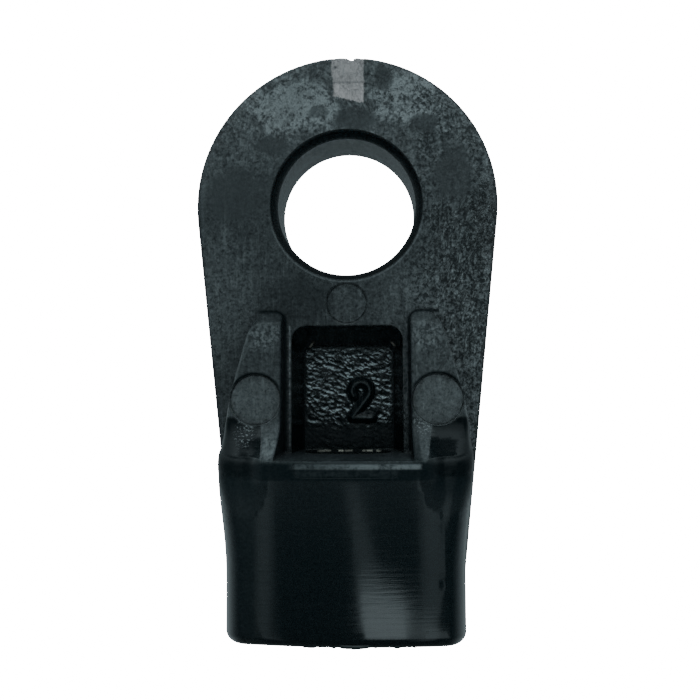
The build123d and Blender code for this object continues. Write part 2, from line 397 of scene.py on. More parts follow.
def add_lines(s, m):
    """Painted shadow lines round the ribs' feet and over the pads, and a painted highlight line under each
    pad.
    """
    from_corner = s.hypot(s.past(RIB_CORNER[0], m.off_middle), s.past(m.z, RIB_CORNER[1]))
    m.groove = s.times(s.near(from_corner, RIB_CORNER_RADIUS, 0.3), s.step(m.off_middle, 8.4, 7.5),
                       s.step(m.y, -2.8, -2.95), s.step(m.z, -22.1, -21.8))
    raised = s.step(m.y, -3.4, -4.2)
    m.crescent = 0.0
    m.under_pad = 0.0
    # Painted shadow along each pad's top and painted highlight along its foot
    for centre_x, centre_z, radius in PADS:
        far = s.far_from(m.x, m.z, centre_x, centre_z)
        over = s.times(s.near(far, radius + 0.08, 0.24), s.step(m.z, centre_z + 0.2, centre_z + 1.5))
        under = s.times(s.near(far, radius - 0.02, 0.16), s.step(m.z, centre_z - 0.4, centre_z - 1.6))
        m.crescent = s.plus(m.crescent, s.times(over, raised))
        m.under_pad = s.plus(m.under_pad, s.times(under, raised))


def add_blush(s, m):
    """Blush round the top of the eye, with smooth dark islands, cracks and curls in it."""
    upper = s.step(s.plus(m.z, s.times(m.off_middle, 0.12)), 0.5, 9.8)
    patch = s.plus(s.times(s.cells(m.here, 0.75, 1.3), 0.6), s.times(s.cells(m.here, 1.6, 0.7), 0.4))
    cloud = s.plus(s.times(s.step(m.mottle, 0.42, 0.60), 0.5), s.times(s.step(m.fine, 0.44, 0.62), 0.45),
                   s.times(s.step(patch, 0.3, 0.75), 0.55))
    m.islands = s.largest(*[s.spot(m.x, m.z, *island, m.ragged) for island in ISLANDS])
    lit_left = s.times(s.spot(m.x, m.z, *LIT_LEFT, m.ragged), 1.85)
    lit = s.largest(lit_left, s.spot(m.x, m.z, *LIT_RIGHT, m.ragged))
    crack = s.off(s.noise(m.here, 0.75, 4.0, 0.6, 2.2), 0.5)
    curl = s.off(s.noise(m.here, 1.7, 3.0, 0.55, 2.6), 0.5)
    m.cracks = s.times(s.step(crack, 0.022, 0.006), upper, s.step(m.blotch, 0.42, 0.54))
    m.curls = s.times(s.step(curl, 0.035, 0.006), upper, s.step(m.wide, 0.42, 0.58))
    blush = s.times(upper, s.plus(0.05, s.times(cloud, s.plus(0.22, s.times(lit, 0.62)))))
    blush = s.times(blush, s.without(s.times(m.islands, 0.82)), s.without(s.times(m.cracks, 0.8)))
    m.blush = s.plus(blush, s.times(m.curls, s.plus(0.12, s.times(lit, 0.34))))


def add_flow(s, m):
    """Upright flow marks, slanting short strokes down the right side, and wrinkles at its edge."""
    m.flow = s.times(s.step(m.grain, 0.48, 0.72), s.step(m.z, 3.0, -3.0))
    slant = s.noise(s.stretch(s.turned(m.x, m.y, m.z, -24), 1.9, 1.0, 0.62), 1.0, 4.0, 0.6, 1.3)
    m.on_right = s.times(s.step(m.x, 6.0, 9.5), s.step(m.z, 1.5, -1.5), s.step(m.z, -19.0, -10.0))
    m.stroke = s.times(s.step(s.off(slant, 0.5), 0.05, 0.01), m.on_right)
    m.beside_stroke = s.times(s.band(slant, 0.545, 0.60, 0.02), m.on_right)
    worm = s.noise(m.here, 1.5, 3.0, 0.5, 2.6)
    m.wrinkle = s.times(s.step(s.off(worm, 0.5), 0.07, 0.0), s.spot(m.x, m.z, *WRINKLES, m.ragged))


def add_rubs(s, m):
    """Painted highlights on the sweeps, the ribs' ends and the shoulder's strip, the shoulder's inset, and
    specks on the hips.
    """
    x, y, z = m.x, m.y, m.z
    sweeps = s.plus(*[s.band(x, start, end, 0.2) for start, end in SWEEP_BANDS])
    sweeps = s.times(sweeps, s.band(z, *SWEEP_BAND_Z, 0.5), s.step(y, -4.8, -5.6))
    sweeps = s.times(sweeps, s.step(m.mottle, 0.36, 0.52, 0.55, 1.1))
    m.rubbed = s.times(sweeps, s.step(m.grain, 0.3, 0.6), s.step(x, -1.0, 1.0, 0.38, 0.10))
    # Painted highlights on the ribs' tops
    m.ends = s.plus(*[s.times(s.spot(x, z, *end, m.ragged), m.ribs) for end in RIB_ENDS])
    along_strip = s.times(s.step(x, -4.4, -3.6), s.step(s.plus(x, s.times(m.ragged, 0.4)), 6.3, 5.9))
    # The strip along the shoulder's edge where a highlight is painted
    m.strip = s.times(s.band(z, *STRIP_Z, 0.1), along_strip, m.shoulder_front)
    m.inset = s.times(s.band(x, *INSET_X, 0.2), s.band(z, *INSET_Z, 0.15), m.shoulder_front)
    specks = s.largest(*[s.spot(x, z, *speck, m.ragged) for speck in SPECKS])
    specks = s.times(s.step(m.dust, 0.53, 0.62), specks)
    m.specks = s.times(specks, s.step(y, -3.5, -4.5), s.without(m.pads))


def add_veil(s, m):
    """How hazy the plate, the ribs, the pads and the pocket's floor are, stirred by the noises, with painted
    highlights on the ribs' ends and the pocket's left ledge and painted shade beside the pocket.
    """
    x, y, z = m.x, m.y, m.z
    on_centre_mark = s.step(s.far_from(x, z, *CENTRE_MARK[:2]), CENTRE_MARK[2], CENTRE_MARK[2] - 0.1)
    # Painted highlight line on the pocket's left ledge
    ledge = s.times(s.near(x, LEDGE_X, 0.13), s.band(z, *LEDGE_Z, 0.3), s.step(y, -2.3, -2.6), 0.40)
    veil = s.plus(0.118, s.times(s.step(m.wide, 0.35, 0.7), 0.04),
                  s.times(s.spot(x, z, *CALM_PATCH, m.ragged), -0.07),
                  s.times(s.step(x, 1.0, 5.0), s.step(z, -3.0, -8.0), 0.085),
                  s.times(s.spot(x, z, *PALE_SIDE, m.ragged), 0.06))
    veil = s.plus(veil, s.times(m.flow, 0.09), s.times(m.stroke, -0.12), s.times(m.beside_stroke, 0.13),
                  s.times(m.on_right, 0.045), s.times(on_centre_mark, 0.035),
                  s.times(m.wrinkle, 0.34), s.times(m.ribs, s.step(x, -1.0, 1.0, 0.01, -0.04)),
                  s.times(m.pads, s.step(x, -1.0, 1.0, 0.185, 0.19)),
                  s.times(m.ends, s.step(m.fine, 0.42, 0.6), 0.22), ledge)
    stir = s.plus(s.times(s.centred(m.fine), 2.6), s.times(s.centred(m.dust), 2.2),
                  s.times(s.centred(m.mottle), 1.2), s.times(s.centred(m.grain), 0.8))
    open_plate = s.times(s.step(x, 4.0, 8.0), s.step(y, -3.5, -3.2))
    vigour = s.plus(1.35, s.times(open_plate, 1.6), s.times(m.ribs, -0.2), s.times(m.pads, -0.3))
    stir = s.times(stir, vigour, s.without(s.times(m.islands, 0.7)), s.without(s.times(m.away, 0.72)))
    veil = s.times(veil, s.math("MAXIMUM", s.plus(1.0, stir), 0.08))
    # Painted shade on the right sweep's inner side, beside the pocket
    beside_pocket = s.times(s.band(x, 5.3, 6.1, 0.1), s.band(z, -22.2, -18.9, 0.2), s.step(y, -4.5, -5.0))
    veil = s.times(veil, s.without(s.times(beside_pocket, 0.7)))
    flecks = s.times(m.floor, s.step(z, -20.6, -18.6, 0.018, 0.03))
    m.veil = s.plus(s.times(veil, s.without(m.floor)), flecks)
    m.blush = s.times(m.blush, s.math("MAXIMUM", s.plus(1.0, s.times(stir, 0.75)), 0.1),
                      s.without(s.times(m.away, 0.7)))


def add_haze(s, m):
    """All the haze on the moulding with its painted highlights, less the painted shadow lines, the painted
    shade on the eye's rim and in the pocket, and the painted dark reflection round the plate's edge.
    """
    y, z = m.y, m.z
    # Painted highlight along the plate's outer edge
    edge_light = s.times(s.band(m.from_edge, 0.35, 0.75, 0.18), s.step(z, -9.0, 2.0), m.front, 0.07)
    # Painted highlight on the lower half of the eye's outer edge
    eye_line = s.times(s.near(m.from_eye, EYE_LINE, 0.12), s.step(z, 0.0, -3.5), m.face, 0.22)
    on_plate = s.math("MAXIMUM", s.plus(m.veil, m.blush, edge_light, eye_line), 0.0)
    # Painted highlight along the shoulder's edge, patchy and stronger to the right
    worn_strip = s.times(m.strip, s.step(s.plus(m.fine, s.times(m.blotch, 0.5)), 0.45, 0.85),
                         s.step(m.x, -4.0, 4.0, 0.26, 0.62))
    on_barrel = s.plus(0.008, s.times(s.step(m.dust, 0.3, 0.7), 0.022), s.step(m.x, -5.5, -7.5, 0.0, 0.02))
    haze = s.plus(s.times(on_plate, m.plate), m.rubbed, worn_strip,
                  s.times(m.inset, s.step(m.fine, 0.3, 0.7), 0.07), s.times(m.specks, 0.55),
                  s.times(m.barrel, on_barrel))
    # Painted reflection along the barrel's foot
    foot_line = s.times(s.band(z, *FOOT_LINE_Z, 0.06), s.step(y, -7.0, -8.0),
                        s.step(m.fine, 0.3, 0.6, 0.4, 1.0), 0.34)
    # Painted shadow lines take haze away; painted highlights under the pads and at the barrel's foot are
    # added
    haze = s.plus(s.times(haze, s.without(s.times(s.largest(m.groove, m.crescent), 0.9))),
                  s.times(m.under_pad, 0.26), foot_line)
    # Painted shade on the eye's rim
    rim = s.times(s.band(m.from_eye, *EYE_RIM, 0.03), s.step(y, -1.9, -2.0))
    cave = s.times(s.step(m.off_middle, *POCKET_SIDE), s.step(z, *POCKET_TOP), s.step(z, *POCKET_FOOT))
    cave = s.times(cave, s.step(y, -2.95, -2.85), s.step(y, 0.44, 0.3), m.plate)
    m.unlit = s.times(cave, s.without(m.floor))
    # Painted dark reflection round the plate's edge
    outline = s.times(s.step(m.from_edge, 0.26, 0.16), m.face, m.plate)
    # Where shade is painted: the eye's rim, the plate's edge and the pocket's unlit walls
    m.dark = s.largest(rim, outline, m.unlit)
    eye_wall = s.times(s.step(m.from_eye, *EYE_WALL), s.step(y, -2.2, -1.9))
    m.haze = s.plus(s.times(haze, s.without(m.dark)), s.times(eye_wall, 0.125))


def body_colour(s, m):
    """From deep teal-black to haze, then painted highlights on the floor's crests, painted glints, painted
    shade on the hips and in the pocket, the cut gate's whitening and painted light under the pocket's floor
    edge.
    """
    # Painted shade on the numeral's sloping sides takes the haze away
    haze = s.times(m.haze, s.without(s.painted("flanks")))
    glints = s.largest(*[slash(s, m.x, m.z, centre, lean) for centre, lean in GLINTS])
    glints = s.times(glints, s.band(m.y, -2.6, 1.0, 0.2))
    # Painted shade on the hips below the shoulder
    shade = s.times(m.hip, m.barrel, s.step(m.z, -24.0, -22.5), s.without(m.specks))
    dashes = 0.0
    for start, end, weight in LIGHT_GAPS:
        dashes = s.plus(dashes, s.times(s.band(m.x, start, end, 0.06), weight))
    dashes = s.times(dashes, s.near(m.z, LIGHT_GAP_Z, 0.15), s.band(m.y, 0.2, 0.8, 0.1))
    colour = s.blend(s.math("MINIMUM", haze, 1.0), DEEP, HAZE)
    # Painted highlight on the lit crests of the floor
    colour = s.blend(s.painted("crests"), colour, FLECK)
    colour = s.blend(glints, colour, CREAM)
    colour = s.blend(s.largest(s.times(shade, 0.5), s.times(m.unlit, 0.7)), colour, NIGHT)
    colour = s.blend(s.painted("whitening"), colour, WHITENED)
    return s.blend(dashes, colour, CREAM)


def body_roughness(s, m):
    """Satin on the plate and glossy on the barrel, duller on the blush, the strip and the cut gate."""
    dull = s.plus(0.44, s.times(m.blush, 0.2), s.times(s.centred(m.fine), 0.14), s.times(m.islands, -0.06),
                  s.times(m.floor, -0.20))
    gloss = s.plus(0.075, s.times(s.step(m.weave, 0.4, 0.75), 0.05), s.times(s.step(m.z, -27.0, -22.7), 0.05))
    roughness = s.plus(s.times(dull, m.plate), s.times(gloss, m.barrel), s.times(m.strip, 0.3))
    roughness = s.math("MAXIMUM", roughness, s.times(s.painted("whitening"), 0.55))
    return s.times(roughness, s.without(s.times(m.dark, 0.6)))


def sooty(s, m):
    """Where the reflection is turned down as painted shade: the hips' lower parts, under the shoulder and in
    the painted shadow lines.
    """
    hips = s.times(m.hip, m.barrel, s.step(m.z, -26.0, -23.5))
    shoulder = s.times(s.band(m.z, -23.6, -21.95, 0.1), s.step(m.y, -8.4, -9.4))
    return s.largest(hips, shoulder, m.groove, m.crescent)


def body_height(s, m):
    """Relief in millimetres: orange peel, waves, strokes, wrinkles, pin rings and the insert's line."""
    peel = s.times(s.centred(m.fine), s.plus(0.05, s.times(m.blush, 0.1)), m.plate)
    grit = s.times(s.centred(m.dust), 0.016, m.plate)
    waves = s.times(s.centred(m.wide), 0.05, m.plate)
    scuff = s.times(s.centred(m.weave), 0.0025, m.barrel)
    rings = 0.0
    for centre_x, centre_z, radius in (CENTRE_MARK, *PADS):
        rings = s.plus(rings, s.near(s.far_from(m.x, m.z, centre_x, centre_z), radius, 0.12))
    rings = s.times(rings, s.step(m.y, 0.0, -2.0))
    return s.plus(peel, grit, waves, scuff, s.times(m.wrinkle, 0.12), s.times(m.stroke, -0.09),
                  s.times(m.flow, 0.02, m.plate), s.times(rings, -0.09), s.times(m.cracks, -0.05),
                  s.times(m.curls, 0.04), insert_line(s, m))


def slash(s, x, z, centre, lean):
    """A short slanting streak on the front; lean is 1 if it rises to the right and -1 if to the left."""
    dx = s.math("SUBTRACT", x, centre[0])
    dz = s.times(s.math("SUBTRACT", z, centre[1]), lean)
    return s.times(s.near(s.math("SUBTRACT", dx, dz), 0.0, 0.16), s.near(s.math("ADD", dx, dz), 0.0, 0.62))


def insert_line(s, m):
    """The fine line that a mould insert leaves under the shoulder: a rounded rectangle open at the top."""
    beyond = s.past(s.off(m.x, INSERT_X), INSERT_HALF_WIDTH - INSERT_CORNER)
    beneath = s.past(INSERT_FOOT + INSERT_CORNER, m.z)
    line = s.near(s.hypot(beyond, beneath), INSERT_CORNER, 0.09)
    return s.times(line, s.step(m.z, -22.2, -22.4), m.shoulder_front, -0.03)


# ---------------------------------------------------------------- other materials

BUTTON_DARK = (0.006, 0.011, 0.013)
BUTTON_PALE = (0.016, 0.022, 0.025)
WIRE_DARK = (0.42, 0.42, 0.43)
WIRE_PALE = (0.62, 0.62, 0.63)
FLOOR_GLOW = 22.0


def button_material():
    """Near-black satin plastic with a fine spark-eroded grain."""
    material, s, principled = new_material("button_plastic")
    here = s.place()[0]
    grain = s.noise(here, 6.0, 4.0, 0.6)
    cloud = s.noise(here, 0.4, 4.0, 0.6)
    colour = s.blend(s.step(cloud, 0.3, 0.8), BUTTON_DARK, BUTTON_PALE)
    roughness = s.plus(0.34, s.times(cloud, 0.14))
    wire_up(s, principled, colour, roughness, s.times(s.math("SUBTRACT", grain, 0.5), 0.012))
    return material


def steel_material():
    """Drawn spring wire with faint lengthwise scratches."""
    material, s, principled = new_material("spring_steel")
    here = s.place()[0]
    scratch = s.noise(s.stretch(here, 2.0, 14.0, 2.0), 1.0, 4.0, 0.6)
    colour = s.blend(s.step(scratch, 0.3, 0.7), WIRE_DARK, WIRE_PALE)
    roughness = s.plus(0.22, s.times(scratch, 0.16))
    wire_up(s, principled, colour, roughness)
    principled.inputs["Metallic"].default_value = 1.0
    return material


def floor_material():
    """Pale matt floor that reads as the white background behind the object."""
    material, s, principled = new_material("floor_white")
    here = s.place()[0]
    tone = s.step(s.noise(here, 0.02, 2.0), 0.3, 0.7, 0.80, 0.84)
    principled.inputs["Roughness"].default_value = 0.8
    principled.inputs["Specular IOR Level"].default_value = 0.2
    s.tree.links.new(s.blend(tone, (0, 0, 0), (1, 1, 1)), principled.inputs["Base Color"])
    glow = s.add("ShaderNodeEmission", {"Color": (1, 1, 1, 1), "Strength": FLOOR_GLOW})
    seen = s.add("ShaderNodeLightPath")
    both = s.add("ShaderNodeAddShader", {0: principled.outputs[0], 1: glow})
    mix = s.add("ShaderNodeMixShader", {0: seen, 1: principled.outputs[0], 2: both})
    s.tree.links.new(mix, s.tree.nodes["Material Output"].inputs[0])
    return material


# ---------------------------------------------------------------- refined moulding

# How finely each part with relief is cut
FLOOR_PITCH = 0.1
GATE_PITCH = 0.09
HIP_PITCH = 0.3
CROWN_PITCH = 0.55

# The cavity numeral 2: an arc, a slanting stroke to the corner, and a foot
NUMERAL_CENTRE = (1.12, -16.72)
NUMERAL_RADIUS = 0.82
NUMERAL_ARC_START = -35
NUMERAL_ARC_SPAN = 250
NUMERAL_CORNER = (0.32, -19.14)
NUMERAL_FOOT_END = (2.10, -19.18)
NUMERAL_HALF_WIDTH = 0.54
NUMERAL_HEIGHT = 0.42

# How far up each point of the floor is compared with, to find the upper sides of the wrinkles
LIGHT_REACH = 0.14

# The cut gate: its box, its sides and foot, where it splits, and the nick in the outline
GATE_BOX = (-1.9, 2.3, 9.0, 13.5)
GATE_DEEPEST = -1.0
GATE_TOP = 12.8
GATE_TOP_LEFT = -1.30
GATE_LOW_LEFT = -1.07
GATE_RIGHT = 1.70
GATE_FOOT = 9.8
GATE_SPLIT = 11.12
GATE_PIT = (-0.88, 12.55)
GATE_PIT_RADIUS = 0.13
NOTCH = (-0.05, 0.62, 0.80)
NOTCH_DEPTH = 0.24

# The hips, where the sweep meets the barrel's sides, and the barrel's crowned front
HIP_BOX = (5.4, 10.9, -27.0, -18.6)
HIP_DEEPEST = -4.5
HIP_BLEND = 4.6
SIDE_Z = (-31.5, -26.0, -22.6, -19.6)
SIDE_X = (9.6, 10.07, 10.42, 10.38)
CROWN_BOX = (-7.5, 7.5, -35.45, -23.5)
CROWN_DEEPEST = -9.6
CROWN_RADIUS = 60.0


def cut_grid(bm, faces, axis, low, high, pitch):
    """Cut chosen faces by evenly spaced planes across one axis, and return the faces they become."""
    normal = Vector((0, 0, 0))
    normal[axis] = 1.0
    for i in range(1, int(round((high - low) / pitch))):
        place = Vector((0, 0, 0))
        place[axis] = (low + i * pitch) * MM
        edges = {e for f in faces for e in f.edges}
        verts = {v for f in faces for v in f.verts}
        geom = list(faces) + list(edges) + list(verts)
        cut = bmesh.ops.bisect_plane(bm, geom=geom, plane_co=place, plane_no=normal, dist=1e-8)
        faces = [g for g in cut["geom"] if isinstance(g, bmesh.types.BMFace)]
    return faces


def cut_both_ways(bm, faces, box, pitch):
    """Cut chosen faces into a square grid over a box (low x, high x, low z, high z)."""
    faces = cut_grid(bm, faces, 0, box[0], box[1], pitch)
    return cut_grid(bm, faces, 2, box[2], box[3], pitch)


def numeral_distance(x, z):
    """Distance from each point to the centre line of the cavity numeral 2."""
    centre = np.array(NUMERAL_CENTRE)
    angle = np.arctan2(z - centre[1], x - centre[0])
    on_arc = (np.degrees(angle) - NUMERAL_ARC_START) % 360 <= NUMERAL_ARC_SPAN
    from_centre = np.hypot(x - centre[0], z - centre[1])
    best = np.where(on_arc, np.abs(from_centre - NUMERAL_RADIUS), 99.0)
    tip, join = [centre + NUMERAL_RADIUS * np.array([math.cos(math.radians(a)), math.sin(math.radians(a))])
                 for a in (NUMERAL_ARC_START + NUMERAL_ARC_SPAN, NUMERAL_ARC_START)]
    best = np.minimum(best, np.hypot(x - tip[0], z - tip[1]))
    corners = [join, np.array(NUMERAL_CORNER), np.array(NUMERAL_FOOT_END)]
    for a, b in zip(corners, corners[1:]):
        along = b - a
        t = np.clip(((x - a[0]) * along[0] + (z - a[1]) * along[1]) / (along @ along), 0, 1)
        best = np.minimum(best, np.hypot(x - a[0] - t * along[0], z - a[1] - t * along[1]))
    return best


def floor_relief(points):
    """How far the pocket's floor stands out at each point, and how much of a numeral's flank is there, to be
    painted in shade.
    """
    x, z = points[:, 0], points[:, 2]
    squeezed = np.column_stack([x, np.zeros_like(x), 1.9 * (z + 0.32 * x)])
    worm = perlin(squeezed, 1.15, 3, 3)
    fine = perlin(squeezed, 3.2, 2, 5)
    wander = perlin(points, 0.45, 2, 8)
    texture = 0.15 * (1 - np.abs(worm) * 2.4) + 0.05 * fine
    calm = smooth(z, -20.6, -18.8) * (0.65 + 0.35 * smooth(wander, -0.3, 0.2))
    texture = texture * np.clip(calm + 0.14, 0, 1)
    from_line = numeral_distance(x, z)
    beside = smooth(from_line, NUMERAL_HALF_WIDTH, NUMERAL_HALF_WIDTH + 0.1)
    ridge = NUMERAL_HEIGHT * np.clip(1 - from_line / NUMERAL_HALF_WIDTH, 0, 1) ** 0.8
    left, right, bottom, top = POCKET_FLOOR
    inset = np.minimum.reduce([x - left, right - x, z - bottom, top - z])
    flanks = smooth(from_line, 0.06, 0.16) * smooth(from_line, NUMERAL_HALF_WIDTH + 0.12, NUMERAL_HALF_WIDTH)
    return (texture * beside + ridge) * smooth(inset, 0.0, 0.25), flanks


def floor_crests(points, relief):
    """How strongly the light catches each point of the floor: on the upper side of each wrinkle."""
    x, z = points[:, 0], points[:, 2]
    raised, _ = floor_relief(points + np.array([0.0, 0.0, LIGHT_REACH]))
    slope = (relief - raised) / LIGHT_REACH
    from_line = numeral_distance(x, z)
    # Painted highlight along the numeral's ridge
    centre_line = 0.06 * smooth(from_line, 0.12, 0.03)
    fade = smooth(z, -21.4, -17.5) * smooth(z, -12.6, -13.6)
    off_numeral = smooth(from_line, NUMERAL_HALF_WIDTH, NUMERAL_HALF_WIDTH + 0.15)
    off_walls = smooth(np.abs(x), 4.1, 3.7)
    patchy = 0.5 + 0.5 * smooth(perlin(points * np.array([1.0, 0.0, 1.0]), 0.8, 2, 41), -0.35, 0.25)
    caught = 1.35 * smooth(slope, 0.18, 0.8) * (0.32 + 0.68 * fade) * patchy
    return caught * off_numeral * off_walls + centre_line


def gate_marks(points):
    """The cut gate: how white each point is, how deep it is scraped, and how far the outline is nicked."""
    x, y, z = points.T
    ripple = perlin(points, 2.2, 3, 21) * 0.10
    hairs = perlin(points * np.array([1.0, 0.0, 0.06]), 6.0, 3, 22)
    left = GATE_LOW_LEFT + (GATE_TOP_LEFT - GATE_LOW_LEFT) * smooth(z, GATE_FOOT, GATE_TOP) + ripple
    foot = GATE_FOOT - 0.24 * (x - GATE_LOW_LEFT) + 0.16 * hairs
    inside = smooth(x, left, left + 0.1) * smooth(x, GATE_RIGHT + ripple, GATE_RIGHT - 0.1 + ripple)
    inside = inside * smooth(z, foot, foot + 0.12) * smooth(y, -1.8, -2.4)
    lower = smooth(z, GATE_SPLIT + 0.04, GATE_SPLIT - 0.04)
    split = np.exp(-((z - GATE_SPLIT) / 0.06) ** 2)
    pit = np.exp(-((x - GATE_PIT[0]) ** 2 + (z - GATE_PIT[1]) ** 2) / GATE_PIT_RADIUS ** 2)
    white = 0.72 + 0.12 * hairs + lower * (0.10 + 0.28 * smooth(hairs, 0.0, 0.35)) - 0.35 * split - 0.8 * pit
    scrape = inside * (0.05 + 0.02 * hairs + 0.05 * lower + 0.04 * split + 0.12 * pit)
    start, deepest, back = NOTCH
    nick = smooth(x, start, deepest) * smooth(x, back, deepest + 0.06) * NOTCH_DEPTH
    nick = nick + 0.05 * smooth(perlin(points, 2.6, 2, 23), 0.0, 0.4) * smooth(np.abs(x - 0.3), 1.7, 1.3)
    nick = nick * smooth(np.hypot(x, z), 12.9, 13.3) * smooth(y, 1.5, -1.0)
    return np.clip(white, 0, 1.2) * inside, scrape, nick


def hip_easing(points):
    """How far each point of the hips sinks, so that the sweep runs into the barrel with a softer crest."""
    x, y, z = points.T
    rise = PLATE_Y - y
    sweep = np.polyval(np.polyfit(SWEEP_Z, SWEEP_RISE, 4), np.clip(z, SWEEP_Z[0], SWEEP_Z[-1]))
    sweep = sweep + 1.2 * np.maximum(SWEEP_Z[0] - z, 0)
    corner_start = np.interp(z, SIDE_Z, SIDE_X) - BARREL_CORNER
    over = np.clip(np.abs(x) - corner_start, 0, BARREL_CORNER)
    crown = np.minimum(np.abs(x), corner_start) ** 2 / (2 * CROWN_RADIUS)
    barrel = BARREL_RISE - crown - BARREL_CORNER + np.sqrt(BARREL_CORNER ** 2 - over ** 2)
    apart = np.maximum(np.maximum(sweep, barrel) - rise, 0)
    depth = HIP_BLEND / 4 * (np.maximum(HIP_BLEND - apart, 0) / HIP_BLEND) ** 2
    return depth * smooth(np.abs(x), 6.0, 8.0) * smooth(z, -19.0, -20.6) * smooth(y, -4.6, -5.6)


def is_pocket_floor(face):
    """Whether a face is on the pocket's flat floor."""
    x, y, z = face.calc_center_median() / MM
    left, right, bottom, top = POCKET_FLOOR
    within = left - 0.05 < x < right + 0.05 and bottom - 0.1 < z < top + 0.1
    return within and face.normal.y < -0.99 and abs(y - POCKET_FLOOR_Y) < 0.02


def front_faces(bm, box, deepest_y):
    """Faces turned to the front that reach into a box, with a corner in front of deepest_y."""
    found = []
    for face in bm.faces:
        corners = np.array([v.co[:] for v in face.verts]) / MM
        low, high = corners.min(axis=0), corners.max(axis=0)
        beside = high[0] < box[0] or low[0] > box[1] or high[2] < box[2] or low[2] > box[3]
        if face.normal.y < 0.05 and low[1] < deepest_y and not beside:
            found.append(face)
    return found


def cut_for_relief(bm):
    """Cut the faces that carry relief into fine grids, and mark the points of the pocket's floor."""
    floor_faces = cut_both_ways(bm, [f for f in bm.faces if is_pocket_floor(f)], POCKET_FLOOR, FLOOR_PITCH)
    cut_both_ways(bm, front_faces(bm, GATE_BOX, GATE_DEEPEST), GATE_BOX, GATE_PITCH)
    for side in (-1, 1):
        low_x, high_x = sorted((side * HIP_BOX[0], side * HIP_BOX[1]))
        box = (low_x, high_x, HIP_BOX[2], HIP_BOX[3])
        cut_both_ways(bm, front_faces(bm, box, HIP_DEEPEST), box, HIP_PITCH)
    cut_both_ways(bm, front_faces(bm, CROWN_BOX, CROWN_DEEPEST), CROWN_BOX, CROWN_PITCH)
    bm.verts.index_update()
    on_floor = np.zeros(len(bm.verts), dtype=bool)
    on_floor[[v.index for f in floor_faces if f.is_valid for v in f.verts]] = True
    return on_floor


def sculpt(points, on_floor):
    """Move the points into the fine relief, and return the values that the material reads at each of them."""
    x, y, z = points.T
    painted = {name: np.zeros(len(points)) for name in ("whitening", "flanks", "crests")}
    relief, painted["flanks"][on_floor] = floor_relief(points[on_floor])
    painted["crests"][on_floor] = floor_crests(points[on_floor], relief)
    points[on_floor, 1] -= relief
    near_gate = (x > GATE_BOX[0]) & (x < GATE_BOX[1]) & (z > GATE_BOX[2]) & (y < 2)
    painted["whitening"][near_gate], scrape, nick = gate_marks(points[near_gate])
    flat = np.abs(points[near_gate, 1] - PLATE_Y) < 0.3
    points[near_gate, 1] += scrape * flat
    points[near_gate, 2] -= nick
    on_hip = (np.abs(x) > HIP_BOX[0]) & (z > HIP_BOX[2]) & (z < HIP_BOX[3]) & (y < -4.4)
    points[on_hip, 1] += hip_easing(points[on_hip])
    off_middle = np.minimum(np.abs(x), CROWN_BOX[1])
    crown = PLATE_Y - BARREL_RISE + CROWN_RADIUS - np.sqrt(CROWN_RADIUS ** 2 - off_middle ** 2)
    in_box = (np.abs(x) < CROWN_BOX[1]) & (z > CROWN_BOX[2]) & (z < CROWN_BOX[3])
    on_crown = in_box & (np.abs(y - crown) < 0.03)
    points[on_crown, 1] = crown[on_crown]
    return painted


def refined_body():
    """The moulding with its fine relief as real shape: floor texture, numeral, cut gate and eased hips."""
    bm = bmesh.new()
    bm.from_mesh(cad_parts["body"].data)
    bmesh.ops.remove_doubles(bm, verts=bm.verts, dist=2e-7)
    bm.normal_update()
    on_floor = cut_for_relief(bm)
    points = np.array([tuple(v.co / MM) for v in bm.verts])
    painted = sculpt(points, on_floor)

    mesh = bpy.data.meshes.new("body_moulding")
    bm.to_mesh(mesh)
    bm.free()
    store(mesh, points)
    for name, values in painted.items():
        mesh.attributes.new(name, "FLOAT", "POINT").data.foreach_set("value", values.astype(np.float32))
    if "custom_normal" in mesh.attributes:
        mesh.attributes.remove(mesh.attributes["custom_normal"])
    mesh.shade_smooth()
    mesh.set_sharp_from_angle(angle=math.radians(32))
    body = link(bpy.data.objects.new("body_moulding", mesh))
    put_material(body, body_material())
    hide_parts("body")
    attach(body, "body")
    return body


# ---------------------------------------------------------------- flash at the mouth

FLASH_ENDS = (-5.3, 5.6)
FLASH_PITCH = 0.12
FLASH_TOP = -36.1
FLASH_SHORTEST = 0.18
FLASH_FOOT = -36.48
FLASH_FRONT = -9.96
FLASH_BACK = -9.7
LUMP_MIDDLE = 0.8
LUMP_HALF_WIDTH = 1.3


